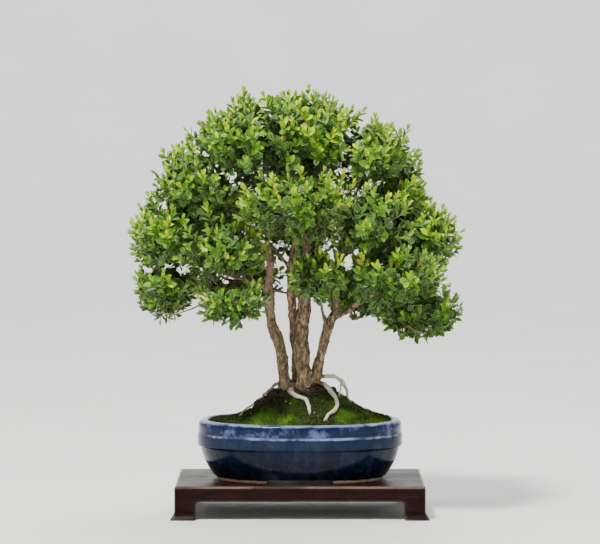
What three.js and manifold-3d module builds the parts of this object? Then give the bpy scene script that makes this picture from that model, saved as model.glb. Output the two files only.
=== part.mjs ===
// A boxwood bonsai grown as a clump of trunks, in its glazed oval pot on a low lacquered display stand.
// Millimetres, +Z up, the front of the tree faces -Y. The origin is on the surface that the stand rests on,
// below the middle of the whole outline. Every part is a closed solid at its real size.
import * as THREE from 'three';
import { ConvexGeometry } from 'three/addons/geometries/ConvexGeometry.js';
import { mergeVertices } from 'three/addons/utils/BufferGeometryUtils.js';
import Module from 'manifold-3d';

const wasm = await Module();
wasm.setup();

// Driving dimensions
const GAP = 0.3; // between pieces that rest in or against each other
const SLIVER = 0.02;
const WOOD_ROOM = 0.4; // by which a hole is wider, all round, than the wood in it
const MIDDLE_OF_OUTLINE = { x: -4, y: 4 }; // seen from the pot's centre

const STAND = {
  halfWidth: 167.5, halfDepth: 110, height: 45, board: 8, panel: 10, leg: 28, apron: 12.5, edge: 2.5, bracket: 4,
  roundingSteps: 3,
};
const TOE = { out: 6.5, height: 12, steps: 4 };

const POT = { height: 81, depthRatio: 0.77, roundness: 2.25, floor: 12, segments: 32 };
const FOOT_GAP = { front: 42, end: 30, slope: 5, height: 6, reach: 150, under: 1 };
const DRAIN = { x: 58, radius: 9, sides: 14 };
const SCREEN = { half: 18, thick: 1, holes: 3, pitch: 9, hole: 6 };

const POT_Z = STAND.height;
const RIM_Z = POT_Z + POT.height;
const MOUND = { x: 10, y: 4, edgeZ: RIM_Z - 5, rise: 52, spread: 80, power: 2.2 };
const HUMMOCKS = { rise: 1.6, waveX: 0.11, startX: 1, waveY: 0.13, startY: -0.5, fade: 3 };
const MOSS_THICK = 4;

const BLADE = { length: 19, width: 13, widest: 0.58, thick: 2 };
const SHOOT = {
  radius: 1.4, sides: 3, sunk: 4, leafReach: 6, step: 9, vary: 7, mostPairs: 6, rising: 0.3, clear: 15,
};
const LEAF_SET = {
  aside: 0.3, topLean: 0.6, leanStep: 0.25, leanVary: 0.2, smallest: 0.85, sizeVary: 0.2, bends: [1, 0.6, 0.3],
};
// A spray's core: its corners' share of the spray's size, its flats' share of that, and how far corners vary
const CORE = { share: 0.58, flats: 0.74, uneven: 0.2 };
const SHOOT_SPACING = 76; // over the spray's outer surface
const FEWEST_SHOOTS = 3;
const FIRST_SEED = 22;
const SEED_STEP = 7919; // keeps the sprays' random numbers apart

// Solids and meshes
function solidOf(geometry) {
  const bare = new THREE.BufferGeometry();
  bare.setAttribute('position', geometry.getAttribute('position'));
  bare.setIndex(geometry.index);
  const merged = mergeVertices(bare, 1e-4);
  return new wasm.Manifold(new wasm.Mesh({
    numProp: 3,
    vertProperties: new Float32Array(merged.getAttribute('position').array),
    triVerts: new Uint32Array(merged.index.array),
  }));
}

// The one body left by a cut, without its scraps and its smallest slivers.
function cleaned(solid) {
  const bodies = solid.simplify(SLIVER).decompose();
  return bodies.reduce((best, body) => (body.volume() > best.volume() ? body : best));
}

function meshOf(name, solid, material) {
  const made = solid.getMesh();
  const geometry = new THREE.BufferGeometry();
  geometry.setAttribute('position', new THREE.BufferAttribute(new Float32Array(made.vertProperties), 3));
  geometry.setIndex(new THREE.BufferAttribute(new Uint32Array(made.triVerts), 1));
  geometry.computeVertexNormals();
  const mesh = new THREE.Mesh(geometry, material);
  mesh.name = name;
  return mesh;
}

// Random numbers from 0 to 1 that come out the same every time.
function seeded(seed) {
  let state = seed;
  return () => {
    state = (state * 1664525 + 1013904223) % 4294967296;
    return state / 4294967296;
  };
}

// Moves every vertex of a geometry by a rule, which changes the point that it is given.
function reshape(geometry, rule) {
  const position = geometry.getAttribute('position');
  const point = new THREE.Vector3();
  for (let i = 0; i < position.count; i += 1) {
    point.fromBufferAttribute(position, i);
    rule(point);
    position.setXYZ(i, point.x, point.y, point.z);
  }
  return geometry;
}

function box(x0, x1, y0, y1, z0, z1) {
  const geometry = new THREE.BoxGeometry(x1 - x0, y1 - y0, z1 - z0);
  geometry.translate((x0 + x1) / 2, (y0 + y1) / 2, (z0 + z1) / 2);
  return solidOf(geometry);
}

const shapeOf = (points) => new THREE.Shape(points.map(([x, y]) => new THREE.Vector2(x, y)));

// Materials
const finish = (color, roughness) => new THREE.MeshStandardMaterial({ color, roughness, metalness: 0 });
const LACQUER = finish(0x2a100c, 0.25);
const GLAZE = finish(0x101f3d, 0.12);
const PLASTIC = finish(0x2c2f31, 0.7);
const SOIL = finish(0x2b2118, 0.95);
const MOSS = finish(0x35601a, 0.9);
const BARK = finish(0x77634e, 0.85);
const LEAF = finish(0x6aa02a, 0.45);

// Display stand: a board on four legs, with an apron between each two of them
function standBoard() {
  const { halfWidth, halfDepth, board, height, edge } = STAND;
  const x = halfWidth - edge;
  const y = halfDepth - edge;
  const geometry = new THREE.ExtrudeGeometry(shapeOf([[-x, -y], [x, -y], [x, y], [-x, y]]), {
    depth: board,
    bevelEnabled: true,
    bevelThickness: edge,
    bevelSize: edge,
    bevelSegments: STAND.roundingSteps,
  });
  geometry.translate(0, 0, height - board - edge);
  // The bevel rounds the upper edge. The lower one is cut away, so that the board lies flat on the legs.
  return solidOf(geometry).intersect(
    box(-halfWidth, halfWidth, -halfDepth, halfDepth, height - board, height),
  );
}

// Two boards on end that meet at the stand's corner. The toe turns outwards on both faces.
function standLeg(sideX, sideY) {
  const { halfWidth, halfDepth, height, board, panel, leg } = STAND;
  const rise = height - board;
  const outline = [[0, 0], [0, -leg], [-panel, -leg], [-panel, -panel], [-leg, -panel], [-leg, 0]].reverse();
  const geometry = new THREE.ExtrudeGeometry(shapeOf(outline), {
    depth: rise,
    steps: TOE.steps + 1,
    bevelEnabled: false,
  });
  reshape(geometry, (point) => {
    const level = Math.round((point.z / rise) * (TOE.steps + 1));
    const out = TOE.out * Math.max(0, 1 - level / TOE.steps) ** 2;
    point.x += point.x > -1 ? out : 0;
    point.y += point.y > -1 ? out : 0;
    point.z = level > TOE.steps ? rise : (TOE.height * level) / TOE.steps;
  });
  geometry.rotateZ(Math.atan2(sideY, sideX) - Math.PI / 4);
  geometry.translate(sideX * halfWidth, sideY * halfDepth, 0);
  return solidOf(geometry);
}

// A board between two legs, with a small rounded bracket where it meets each of them.
function standApron(halfRun) {
  const { height, board, panel, apron, bracket } = STAND;
  const top = height - board;
  const under = top - apron;
  const outline = new THREE.Shape();
  outline.moveTo(halfRun, top);
  outline.lineTo(-halfRun, top);
  outline.lineTo(-halfRun, under - bracket);
  outline.quadraticCurveTo(-halfRun, under, -halfRun + bracket, under);
  outline.lineTo(halfRun - bracket, under);
  outline.quadraticCurveTo(halfRun, under, halfRun, under - bracket);
  outline.closePath();
  const geometry = new THREE.ExtrudeGeometry(outline, {
    depth: panel,
    curveSegments: STAND.roundingSteps,
    bevelEnabled: false,
  });
  return geometry.rotateX(Math.PI / 2);
}

function standAprons() {
  const { halfWidth, halfDepth, panel, leg } = STAND;
  const long = () => standApron(halfWidth - leg);
  const short = () => standApron(halfDepth - leg).rotateZ(Math.PI / 2);
  return {
    front: long().translate(0, panel - halfDepth, 0),
    back: long().translate(0, halfDepth, 0),
    left: short().translate(-halfWidth, 0, 0),
    right: short().translate(halfWidth - panel, 0, 0),
  };
}

// Pot: a turned profile, drawn out to an oval. Each point gives the radius along the pot's length and the
// height over its foot.
const POT_OUTSIDE = [
  [0, 6], [103.7, 6], [105.5, 0], [114, 0], [117, 4], [122, 11.5], [128, 21], [132.5, 31], [136, 44],
  [139, 46], [140, 50], [140, 61], [138.4, 64], [139, 74], [137, 78.5], [132, POT.height], [126, POT.height],
];
const POT_INSIDE = [[0, POT.floor], [100, POT.floor], [113, 18], [122, 30], [125.5, 46], [124.5, 79]];

function turned(profile, segments) {
  const geometry = new THREE.LatheGeometry(profile.map(([x, y]) => new THREE.Vector2(x, y)), segments);
  geometry.rotateX(Math.PI / 2);
  const bend = 2 / POT.roundness;
  return reshape(geometry, (point) => {
    const radius = Math.hypot(point.x, point.y);
    if (radius > 0) {
      const cos = point.x / radius;
      const sin = point.y / radius;
      point.x = radius * Math.sign(cos) * Math.abs(cos) ** bend;
      point.y = radius * POT.depthRatio * Math.sign(sin) * Math.abs(sin) ** bend;
    }
  });
}

// The gap between two feet, with slanted ends, right through the foot along Y.
function footGap(halfWidth) {
  const { slope, height, reach, under } = FOOT_GAP;
  const geometry = new THREE.ExtrudeGeometry(shapeOf([
    [-halfWidth - slope, -under], [halfWidth + slope, -under], [halfWidth, height], [-halfWidth, height],
  ]), { depth: 2 * reach, bevelEnabled: false });
  return geometry.rotateX(Math.PI / 2).translate(0, reach, POT_Z);
}

function pot() {
  const body = turned([...POT_OUTSIDE, ...[...POT_INSIDE].reverse()], POT.segments).translate(0, 0, POT_Z);
  const drains = [-1, 1].map((side) => {
    const hole = new THREE.CylinderGeometry(DRAIN.radius, DRAIN.radius, 2 * POT.floor, DRAIN.sides);
    return solidOf(hole.rotateX(Math.PI / 2).translate(side * DRAIN.x, 0, POT_Z + POT.floor / 2));
  });
  const gaps = [footGap(FOOT_GAP.front), footGap(FOOT_GAP.end).rotateZ(Math.PI / 2)].map(solidOf);
  return solidOf(body).subtract(wasm.Manifold.union([...drains, ...gaps]));
}

// A square of plastic mesh over a drain hole keeps the soil in.
function drainScreen(side) {
  const { half, thick, holes, pitch, hole } = SCREEN;
  const x = side * DRAIN.x;
  const z = POT_Z + POT.floor;
  const rows = Array.from({ length: holes }, (_, i) => (i - (holes - 1) / 2) * pitch);
  const openings = rows.flatMap((dx) => rows.map((dy) => (
    box(x + dx - hole / 2, x + dx + hole / 2, dy - hole / 2, dy + hole / 2, z - 1, z + thick + 1)
  )));
  return box(x - half, x + half, -half, half, z, z + thick).subtract(wasm.Manifold.union(openings));
}

// Moss over soil, heaped round the trunks
const MOUND_EDGE = 124.2; // radius along the pot's length, a little less than the pot's inside there
const MOUND_RINGS = [1, 0.8, 0.62, 0.46, 0.3, 0.15, 0];
const PAST_EDGE = 1.05; // to which the moss's shape is drawn out where it cuts the soil
const MOUND_SEGMENTS = POT.segments / 2; // so that its corners point at corners of the pot's inside

function mossTop(x, y) {
  const { spread, power, edgeZ, rise } = MOUND;
  const { waveX, startX, waveY, startY, fade } = HUMMOCKS;
  const away = Math.hypot(x - MOUND.x, (y - MOUND.y) / POT.depthRatio);
  const share = Math.exp(-((away / spread) ** power));
  const wave = Math.sin(x * waveX + startX) * Math.cos(y * waveY + startY) * Math.min(1, fade * share);
  return edgeZ + rise * share + HUMMOCKS.rise * wave;
}

// A layer that follows the mound, between two heights over the moss's surface.
function moundLayer(from, to, rings) {
  const over = rings.map((share) => [share * MOUND_EDGE, 1]);
  const under = rings.map((share) => [share * MOUND_EDGE, 0]).reverse();
  return solidOf(reshape(turned([...under, ...over], MOUND_SEGMENTS), (point) => {
    point.z = mossTop(point.x, point.y) + (point.z > 0.5 ? to : from);
  }));
}

function soil() {
  const wall = POT_INSIDE.slice(1, 5).map(([radius, z]) => [radius - GAP, POT_Z + z + GAP]);
  const heap = [[MOUND_EDGE, RIM_Z], [MOUND_EDGE, RIM_Z + MOUND.rise], [0, RIM_Z + MOUND.rise]];
  const block = turned([[0, POT_Z + POT.floor + GAP], ...wall, ...heap], MOUND_SEGMENTS);
  const cover = moundLayer(-MOSS_THICK - GAP, 2 * MOUND.rise, [PAST_EDGE, ...MOUND_RINGS]);
  const screens = [-1, 1].map((side) => box(
    side * DRAIN.x - SCREEN.half - GAP, side * DRAIN.x + SCREEN.half + GAP, -SCREEN.half - GAP,
    SCREEN.half + GAP, POT_Z, POT_Z + POT.floor + SCREEN.thick + GAP,
  ));
  return solidOf(block).subtract(wasm.Manifold.union([cover, ...screens]));
}

// Wood: a limb is a cylinder bent along a curve, whose radius runs through a list from its foot to its tip
const KNOBS = { size: 0.09, pace: 2.3 };
// How many sides each kind of limb has, and the length of a step along it
const TRUNK_SIDES = [6, 22];
const BRANCH_SIDES = [5, 22];
const TWIG_SIDES = [4, 34];
const ROOT_SIDES = [5, 15];

function limb(points, radii, [sides, spacing], grow) {
  const curve = new THREE.CatmullRomCurve3(points.map((p) => new THREE.Vector3(...p)), false, 'centripetal');
  const steps = Math.max(2, Math.round(curve.getLength() / spacing));
  const frames = curve.computeFrenetFrames(steps, false);
  const geometry = new THREE.CylinderGeometry(1, 1, 1, sides, steps);
  return solidOf(reshape(geometry, (point) => {
    const share = point.y + 0.5;
    const step = Math.round(share * steps);
    const place = share * (radii.length - 1);
    const low = Math.min(Math.floor(place), radii.length - 2);
    const radius = THREE.MathUtils.lerp(radii[low], radii[low + 1], place - low);
    const knob = 1 + KNOBS.size * Math.sin(step * KNOBS.pace + points[0][0]);
    const reach = radius * knob + grow;
    const { x, z } = point;
    point.copy(curve.getPointAt(share));
    point.addScaledVector(frames.normals[step], x * reach);
    point.addScaledVector(frames.binormals[step], -z * reach);
    point.addScaledVector(frames.tangents[step], Math.round(2 * share - 1) * grow);
  }));
}

// Trunks, each with its centre line and the radii along it.
const TRUNKS = [
  // left, leaning out and then upright
  [[[-14, -4, 150], [-22, -6, 180], [-23, -7, 205], [-28, -8, 227], [-37, -9, 251], [-41.5, -9, 269],
    [-40.5, -8, 287], [-42, -6, 307], [-42, -5, 322], [-40.5, -4, 342], [-44, -4, 362]], [9, 8.2, 7.4, 6.6, 5.4]],
  // middle, in front
  [[[7, -12, 146], [6, -12, 172], [4, -12, 198], [0.5, -12, 223], [-0.5, -12, 242], [2.5, -12, 260],
    [5, -11, 278], [5, -10, 296], [7, -8, 322], [11, -6, 354], [9, -4, 386]], [14, 10.6, 9.6, 7.6, 6.2, 4.6]],
  // middle, behind
  [[[-2, 8, 150], [-4, 10, 200], [-8, 11, 242], [-10.5, 12, 272], [-12, 13, 302], [-12, 14, 330],
    [-6, 14, 364], [0, 18, 402]], [10, 7.4, 6.8, 6, 4]],
  // right, forking at its scarred knee
  [[[16, -2, 150], [21.5, -4, 184], [27, -5, 208], [32.5, -5, 232], [38, -5, 251], [47, -5, 266],
    [48.5, -4, 282], [48, -3, 297], [50, -2, 322], [56, 0, 356]], [8.6, 7.4, 7.6, 5.6, 4.6]],
  // back
  [[[6, 16, 150], [6, 26, 190], [5, 36, 238], [9, 52, 292], [8, 70, 342], [10, 84, 374]], [10, 8, 7, 5]],
];

// Branches from the trunks to the sprays, with the radii along each.
const BRANCHES = [
  [[[46, -5, 264], [62, -8, 271], [78, -12, 285], [94, -16, 290], [118, -20, 288]], [5, 3.2]],
  [[[35, 0, 254], [31, 9, 272], [28.5, 11, 290], [20, 10, 305], [6, 22, 332]], [2.4, 1.6]],
  [[[28.5, 11, 289], [36, 12, 301], [44, 6, 320]], [1.9, 1.4]],
  [[[-42, -5, 305], [-60, -6, 311], [-80, -8, 317], [-102, -10, 325], [-123, -12, 334]], [4.4, 2.8]],
  [[[-11, 13, 324], [-22, 16, 342], [-33, 20, 356], [-62, 44, 380], [-92, 74, 394]], [3.4, 2]],
];

// Roots that run over the moss. Each point gives x, y and how far the root's centre lies over the moss.
const ROOTS = [
  [[[-8, -14, 4], [-14, -27, 5], [-4, -36, 4], [7, -42, 4], [12, -53, 4], [13, -61, -3]], [4, 2.6]],
  [[[22, -4, 6], [33, -12, 7], [43, -24, 4.5], [51, -36, 4], [46, -56, 4], [36, -69, 3.6], [32, -75, -3]],
    [4, 2.6]],
  [[[20, 0, 10], [34, -4, 16], [50, -3, 21], [59, -3, 17], [64, -4, 10], [65, -6, -3]], [3.8, 2.4]],
  [[[57, -3, 18], [55, -12, 9], [52, -17, -3]], [2.1, 1.5]],
  [[[-18, -6, 8], [-31, -8, 14], [-40, -9, 13], [-45, -11, 7], [-46, -13, -3]], [3.6, 2]],
  [[[-38, -9, 11], [-52, -13, 7], [-65, -17, 6], [-77, -22, 4], [-84, -26, -3]], [2.4, 1.8]],
  [[[-12, 20, 4], [-28, 36, 5], [-42, 48, 4], [-54, 57, -3]], [3.8, 2.2]],
  [[[14, 12, 5], [34, 34, 5], [52, 46, 4], [64, 51, -3]], [4, 2.2]],
];

const ROOT_CROWN = { centre: [3, 3, 162], radii: [38, 27, 17] };

function rootCrown(grow) {
  const lump = new THREE.IcosahedronGeometry(1, 1);
  lump.scale(...ROOT_CROWN.radii.map((radius) => radius + grow));
  return solidOf(lump.translate(...ROOT_CROWN.centre));
}

// Foliage: each spray has its place, its outer size, and the line of the twig that carries it
const SPRAYS = {
  crown_left: { centre: [-80, -24, 500], size: [66, 84, 62], from: [[-43, -4, 354], [-52, -8, 410]] },
  crown_top: { centre: [8, -28, 512], size: [78, 86, 64], from: [[9, -4, 380], [8, -14, 440]] },
  crown_back: { centre: [-16, 88, 492], size: [94, 60, 62], from: [[0, 18, 398], [-4, 46, 430]] },
  crown_right: { centre: [96, -14, 484], size: [60, 82, 52], from: [[56, 0, 352], [70, -8, 416]] },
  upper_left: { centre: [-140, -10, 450], size: [56, 82, 56], from: [[-43, -4, 340], [-72, -12, 394]] },
  upper_right: { centre: [132, 4, 436], size: [40, 72, 46], from: [[56, 0, 350], [92, 0, 394]] },
  left: { centre: [-178, -12, 376], size: [54, 78, 50], from: [[-121, -12, 333], [-138, -12, 340]] },
  low_left: { centre: [-182, -14, 306], size: [46, 66, 42], from: [[-121, -12, 333], [-150, -14, 318]] },
  hanging_left: { centre: [-90, -98, 292], size: [50, 42, 32], from: [[-41, -9, 292], [-54, -44, 296]] },
  inner_left: { centre: [-102, -70, 358], size: [62, 58, 44], from: [[-42, -5, 330], [-64, -30, 342]] },
  front: { centre: [-2, -120, 424], size: [88, 58, 46], from: [[11, -6, 352], [6, -54, 390]] },
  front_right: { centre: [92, -90, 398], size: [58, 56, 42], from: [[50, -2, 326], [66, -40, 362]] },
  low_front: { centre: [26, -104, 326], size: [50, 40, 32], from: [[5, -10, 290], [15, -48, 306]] },
  low_right: { centre: [122, -84, 326], size: [78, 60, 42], from: [[94, -16, 290], [104, -42, 302]] },
  drooping_right: { centre: [162, -30, 276], size: [60, 54, 38], from: [[114, -20, 288], [134, -24, 282]] },
  right: { centre: [172, -4, 374], size: [48, 68, 44], from: [[116, -20, 288], [136, -16, 322]] },
  back_left: { centre: [-118, 100, 406], size: [78, 66, 70], from: [[-91, 73, 393], [-98, 84, 398]] },
  back: { centre: [0, 134, 398], size: [82, 50, 76], from: [[10, 82, 370], [8, 104, 384]] },
  back_right: { centre: [116, 100, 390], size: [76, 66, 70], from: [[9, 52, 294], [52, 72, 336]] },
  back_low_left: { centre: [-86, 102, 312], size: [64, 56, 42], from: [[9, 50, 288], [-30, 72, 296]] },
  back_low_right: { centre: [90, 106, 298], size: [66, 54, 42], from: [[9, 52, 290], [44, 76, 290]] },
};

// The twig ends in the spray's core, on the way to its middle.
const TWIG_REACH = 0.86;
const TWIG_RADII = [3.4, 1.8];

function twigOf({ from, centre }) {
  const last = from[from.length - 1];
  const end = centre.map((value, axis) => last[axis] + TWIG_REACH * (value - last[axis]));
  return [[...from, end], TWIG_RADII];
}

function wood(grow) {
  const trunks = TRUNKS.map(([line, radii]) => limb(line, radii, TRUNK_SIDES, grow));
  const branches = BRANCHES.map(([line, radii]) => limb(line, radii, BRANCH_SIDES, grow));
  const twigs = Object.values(SPRAYS).map((spray) => limb(...twigOf(spray), TWIG_SIDES, grow));
  const roots = ROOTS.map(([line, radii]) => (
    limb(line.map(([x, y, over]) => [x, y, mossTop(x, y) + over]), radii, ROOT_SIDES, grow)
  ));
  return wasm.Manifold.union([rootCrown(grow), ...trunks, ...branches, ...twigs, ...roots]);
}

// Where two sprays meet, a plane parts them: each gives the normal that points away from the spray, and how
// far along it the spray may reach.
const MEETING = 10; // sprays nearer than this share a plane
const PLANE_ROOM = 0.4; // from the plane to the leaves on either side

function borders(name) {
  const own = SPRAYS[name];
  const centre = new THREE.Vector3(...own.centre);
  const reachOf = ({ size }, along) => Math.hypot(size[0] * along.x, size[1] * along.y, size[2] * along.z);
  return Object.keys(SPRAYS).filter((other) => other !== name).flatMap((other) => {
    const normal = new THREE.Vector3(...SPRAYS[other].centre).sub(centre);
    const distance = normal.length();
    normal.normalize();
    const reach = reachOf(own, normal);
    const together = reach + reachOf(SPRAYS[other], normal);
    const limit = normal.dot(centre) + (distance * reach) / together - PLANE_ROOM;
    return together + MEETING > distance ? [{ normal, limit }] : [];
  });
}

function staysInside(geometry, planes) {
  const position = geometry.getAttribute('position');
  const point = new THREE.Vector3();
  for (let i = 0; i < position.count; i += 1) {
    point.fromBufferAttribute(position, i);
    if (planes.some(({ normal, limit }) => normal.dot(point) > limit)) {
      return false;
    }
  }
  return true;
}

// A leaf blade: a kite from its stalk to its tip, with its midrib raised.
function blade(scale) {
  const length = BLADE.length * scale;
  const half = (BLADE.width * scale) / 2;
  return new ConvexGeometry([
    new THREE.Vector3(0, BLADE.thick / 2, 0),
    new THREE.Vector3(length, BLADE.thick / 2, 0),
    new THREE.Vector3(length * BLADE.widest, -BLADE.thick / 2, half),
    new THREE.Vector3(length * BLADE.widest, -BLADE.thick / 2, -half),
  ]);
}

// A leaf that leans away from its stem's axis, closer to the stem where it would reach over a border.
function leaf(joint, axis, turn, lean, scale, planes) {
  const hinge = new THREE.Vector3(0, 0, 1).cross(axis).normalize().applyAxisAngle(axis, turn);
  const aside = new THREE.Vector3().crossVectors(hinge, axis).multiplyScalar(LEAF_SET.aside * SHOOT.radius);
  const choices = LEAF_SET.bends.map((bend) => {
    const along = axis.clone().applyAxisAngle(hinge, lean * bend);
    const basis = new THREE.Matrix4().makeBasis(along, new THREE.Vector3().crossVectors(hinge, along), hinge);
    return blade(scale).applyMatrix4(basis.setPosition(joint.clone().add(aside)));
  });
  return choices.filter((choice) => staysInside(choice, planes)).slice(0, 1);
}

// A stem with an upright pair of young leaves at its tip. Each pair lower down lies across the one above it,
// and its older leaves are wider open.
function shoot(root, axis, rise, random, planes) {
  const stem = new THREE.CylinderGeometry(SHOOT.radius, SHOOT.radius, rise + SHOOT.radius, SHOOT.sides);
  stem.translate(0, (rise + SHOOT.radius) / 2, 0);
  stem.applyQuaternion(new THREE.Quaternion().setFromUnitVectors(new THREE.Vector3(0, 1, 0), axis));
  const pairs = THREE.MathUtils.clamp(Math.round((rise - SHOOT.sunk) / SHOOT.step), 1, SHOOT.mostPairs);
  const turn = random() * Math.PI;
  const leaves = Array.from({ length: pairs }, (_, i) => {
    const joint = root.clone().addScaledVector(axis, rise - i * SHOOT.step);
    const lean = LEAF_SET.topLean + LEAF_SET.leanStep * i + LEAF_SET.leanVary * random();
    const scale = LEAF_SET.smallest + LEAF_SET.sizeVary * random();
    return [0, Math.PI].flatMap((side) => (
      leaf(joint, axis, turn + (i * Math.PI) / 2 + side, lean, scale, planes)
    ));
  });
  return [stem.translate(root.x, root.y, root.z), ...leaves.flat()];
}

const GOLDEN_ANGLE = Math.PI * (3 - Math.sqrt(5));

function spray(name, seed, holes) {
  const middle = new THREE.Vector3(...SPRAYS[name].centre);
  const outer = new THREE.Vector3(...SPRAYS[name].size);
  const planes = borders(name);
  const random = seeded(seed * SEED_STEP);
  const core = reshape(mergeVertices(new THREE.IcosahedronGeometry(CORE.share).deleteAttribute('normal')
    .deleteAttribute('uv')), (point) => point.multiplyScalar(1 - CORE.uneven * random()));
  const pieces = [core.scale(outer.x, outer.y, outer.z).translate(middle.x, middle.y, middle.z)];
  const area = (4 * Math.PI * (outer.x * outer.y + outer.y * outer.z + outer.z * outer.x)) / 3;
  const count = Math.round(area / SHOOT_SPACING ** 2) + FEWEST_SHOOTS;
  for (let i = 0; i < count; i += 1) {
    const up = 1 - (2 * i + 1) / count;
    const out = Math.sqrt(1 - up * up);
    const turn = i * GOLDEN_ANGLE + seed;
    const onBall = new THREE.Vector3(out * Math.cos(turn), out * Math.sin(turn), up);
    const normal = onBall.clone().divide(outer).normalize();
    const furthest = onBall.multiply(outer);
    const root = furthest.clone().multiplyScalar(CORE.share * CORE.flats);
    const room = furthest.distanceTo(root) - SHOOT.leafReach - SHOOT.vary * random();
    const axis = furthest.clone().sub(root).normalize().add(normal);
    axis.z += SHOOT.rising;
    axis.normalize();
    root.add(middle).addScaledVector(axis, -SHOOT.sunk);
    const toBorder = planes.map(({ normal: away, limit }) => (
      away.dot(axis) > 0 ? (limit - away.dot(root)) / away.dot(axis) : Infinity
    ));
    const rise = Math.min(SHOOT.sunk + Math.max(SHOOT.radius, room), Math.min(...toBorder) - SHOOT.clear);
    if (rise > SHOOT.sunk) {
      pieces.push(...shoot(root, axis, rise, random, planes));
    }
  }
  let solid = wasm.Manifold.union(pieces.map(solidOf));
  for (const { normal, limit } of planes) {
    solid = solid.trimByPlane([-normal.x, -normal.y, -normal.z], -limit);
  }
  return cleaned(solid.subtract(holes));
}

// The whole display
const bonsai = new THREE.Group();
bonsai.position.set(-MIDDLE_OF_OUTLINE.x, -MIDDLE_OF_OUTLINE.y, 0);
const place = (name, solid, material) => bonsai.add(meshOf(name, solid, material));

place('stand_board', standBoard(), LACQUER);
Object.entries(standAprons()).forEach(([side, apron]) => place(`stand_apron_${side}`, solidOf(apron), LACQUER));
for (const [sideX, nameX] of [[-1, 'left'], [1, 'right']]) {
  place(`stand_leg_front_${nameX}`, standLeg(sideX, -1), LACQUER);
  place(`stand_leg_back_${nameX}`, standLeg(sideX, 1), LACQUER);
}

place('pot', pot(), GLAZE);
place('drain_screen_left', drainScreen(-1), PLASTIC);
place('drain_screen_right', drainScreen(1), PLASTIC);

const holes = wood(WOOD_ROOM);
place('soil', cleaned(soil().subtract(holes)), SOIL);
place('moss', cleaned(moundLayer(-MOSS_THICK, 0, MOUND_RINGS).subtract(holes)), MOSS);
place('trunks_and_roots', cleaned(wood(0)), BARK);
Object.keys(SPRAYS).forEach((name, i) => place(`foliage_${name}`, spray(name, FIRST_SEED + i, holes), LEAF));

export default bonsai;
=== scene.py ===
import math
import random
from functools import partialmethod
from itertools import islice

import bmesh
import bpy
from mathutils import Matrix, Vector, noise
from mathutils.kdtree import KDTree


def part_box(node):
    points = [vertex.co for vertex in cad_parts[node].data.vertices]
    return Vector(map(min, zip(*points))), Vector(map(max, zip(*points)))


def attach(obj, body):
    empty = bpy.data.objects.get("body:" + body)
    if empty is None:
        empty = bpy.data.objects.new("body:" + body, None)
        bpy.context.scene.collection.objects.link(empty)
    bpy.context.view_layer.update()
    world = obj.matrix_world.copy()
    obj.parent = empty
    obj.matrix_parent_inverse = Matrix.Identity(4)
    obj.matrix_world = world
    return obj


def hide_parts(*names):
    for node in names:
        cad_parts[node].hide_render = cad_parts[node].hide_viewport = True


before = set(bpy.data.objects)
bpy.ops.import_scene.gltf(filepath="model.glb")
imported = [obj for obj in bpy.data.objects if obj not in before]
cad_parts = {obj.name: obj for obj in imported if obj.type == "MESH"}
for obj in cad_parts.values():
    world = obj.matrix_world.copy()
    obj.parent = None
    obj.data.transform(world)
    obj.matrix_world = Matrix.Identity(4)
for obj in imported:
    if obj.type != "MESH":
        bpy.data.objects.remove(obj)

# Sizes are in metres, or in millimetres where they are multiplied by MM. MIDDLE is the pot's own middle.
MM = 0.001
UP = Vector((0, 0, 1))
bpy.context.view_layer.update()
POT_LOW, POT_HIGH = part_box("pot")
MIDDLE = Vector(((POT_LOW.x + POT_HIGH.x) / 2, (POT_LOW.y + POT_HIGH.y) / 2, 0))
POT_FOOT = MIDDLE + UP * POT_LOW.z
GOLDEN_ANGLE = math.pi * (3 - math.sqrt(5))


def clamped(value):
    return min(1, max(0, value))


def rising(value, start, length):
    """0 before the start, and 1 once the value is a length past it."""
    return clamped((value - start) / length)


def falling(value, end, length):
    """1 until the value is within a length of the end, and 0 past the end."""
    return clamped((end - value) / length)


def add_object(name, data):
    made = bpy.data.objects.new(name, data)
    bpy.context.scene.collection.objects.link(made)
    return made


# Camera, room and light

PHOTO_WIDTH = 600
FOCAL_PIXELS = 3205
SENSOR_WIDTH = 36
CAMERA_DISTANCE = 4.36
CAMERA_HEIGHT = 0.534
CAMERA_TILT = math.radians(2.73)
ROOM_RADIUS = 9
ROOM_HEIGHT = 12
ROOM_STEPS = 64
ROOM_CURVE = 3
ROOM_GLOW = (0.86, 0.9, 0.95, 1)
ROOM_STRENGTH = 0.2
WHITE = (1, 1, 1)
# The place, size, power and tint of each light over the display, and where they all point
STUDIO_LIGHTS = {
    "key_light": ((-0.9, -1.5, 3.1), 0.6, 196, (1, 0.98, 0.94)),
    "fill_light": ((2.2, -2.2, 1.0), 1.6, 10, (0.93, 0.97, 1)),
    "back_light": ((0.7, 1.6, 2.4), 1.2, 30, WHITE),
}
LIGHT_AIM = Vector((0, 0, 0.3))
# The side of the round wall that each wall light brightens, and its power
WALL_LIGHTS = {"back": ((0, 1), 600), "left": ((-1, 0), 160), "right": ((1, 0), 160), "front": ((0, -1), 60)}
WALL_LIGHT_SIZE = 4
WALL_LIGHT_OUT = 4
WALL_LIGHT_HEIGHT = 7


def set_camera():
    data = bpy.data.cameras.new("photo_camera")
    data.sensor_width = SENSOR_WIDTH
    data.lens = FOCAL_PIXELS / PHOTO_WIDTH * SENSOR_WIDTH
    data.clip_end = 50
    camera = add_object("photo_camera", data)
    camera.location = (MIDDLE.x, MIDDLE.y - CAMERA_DISTANCE, CAMERA_HEIGHT)
    camera.rotation_euler = (math.pi / 2 - CAMERA_TILT, 0, 0)
    bpy.context.scene.camera = camera


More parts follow.
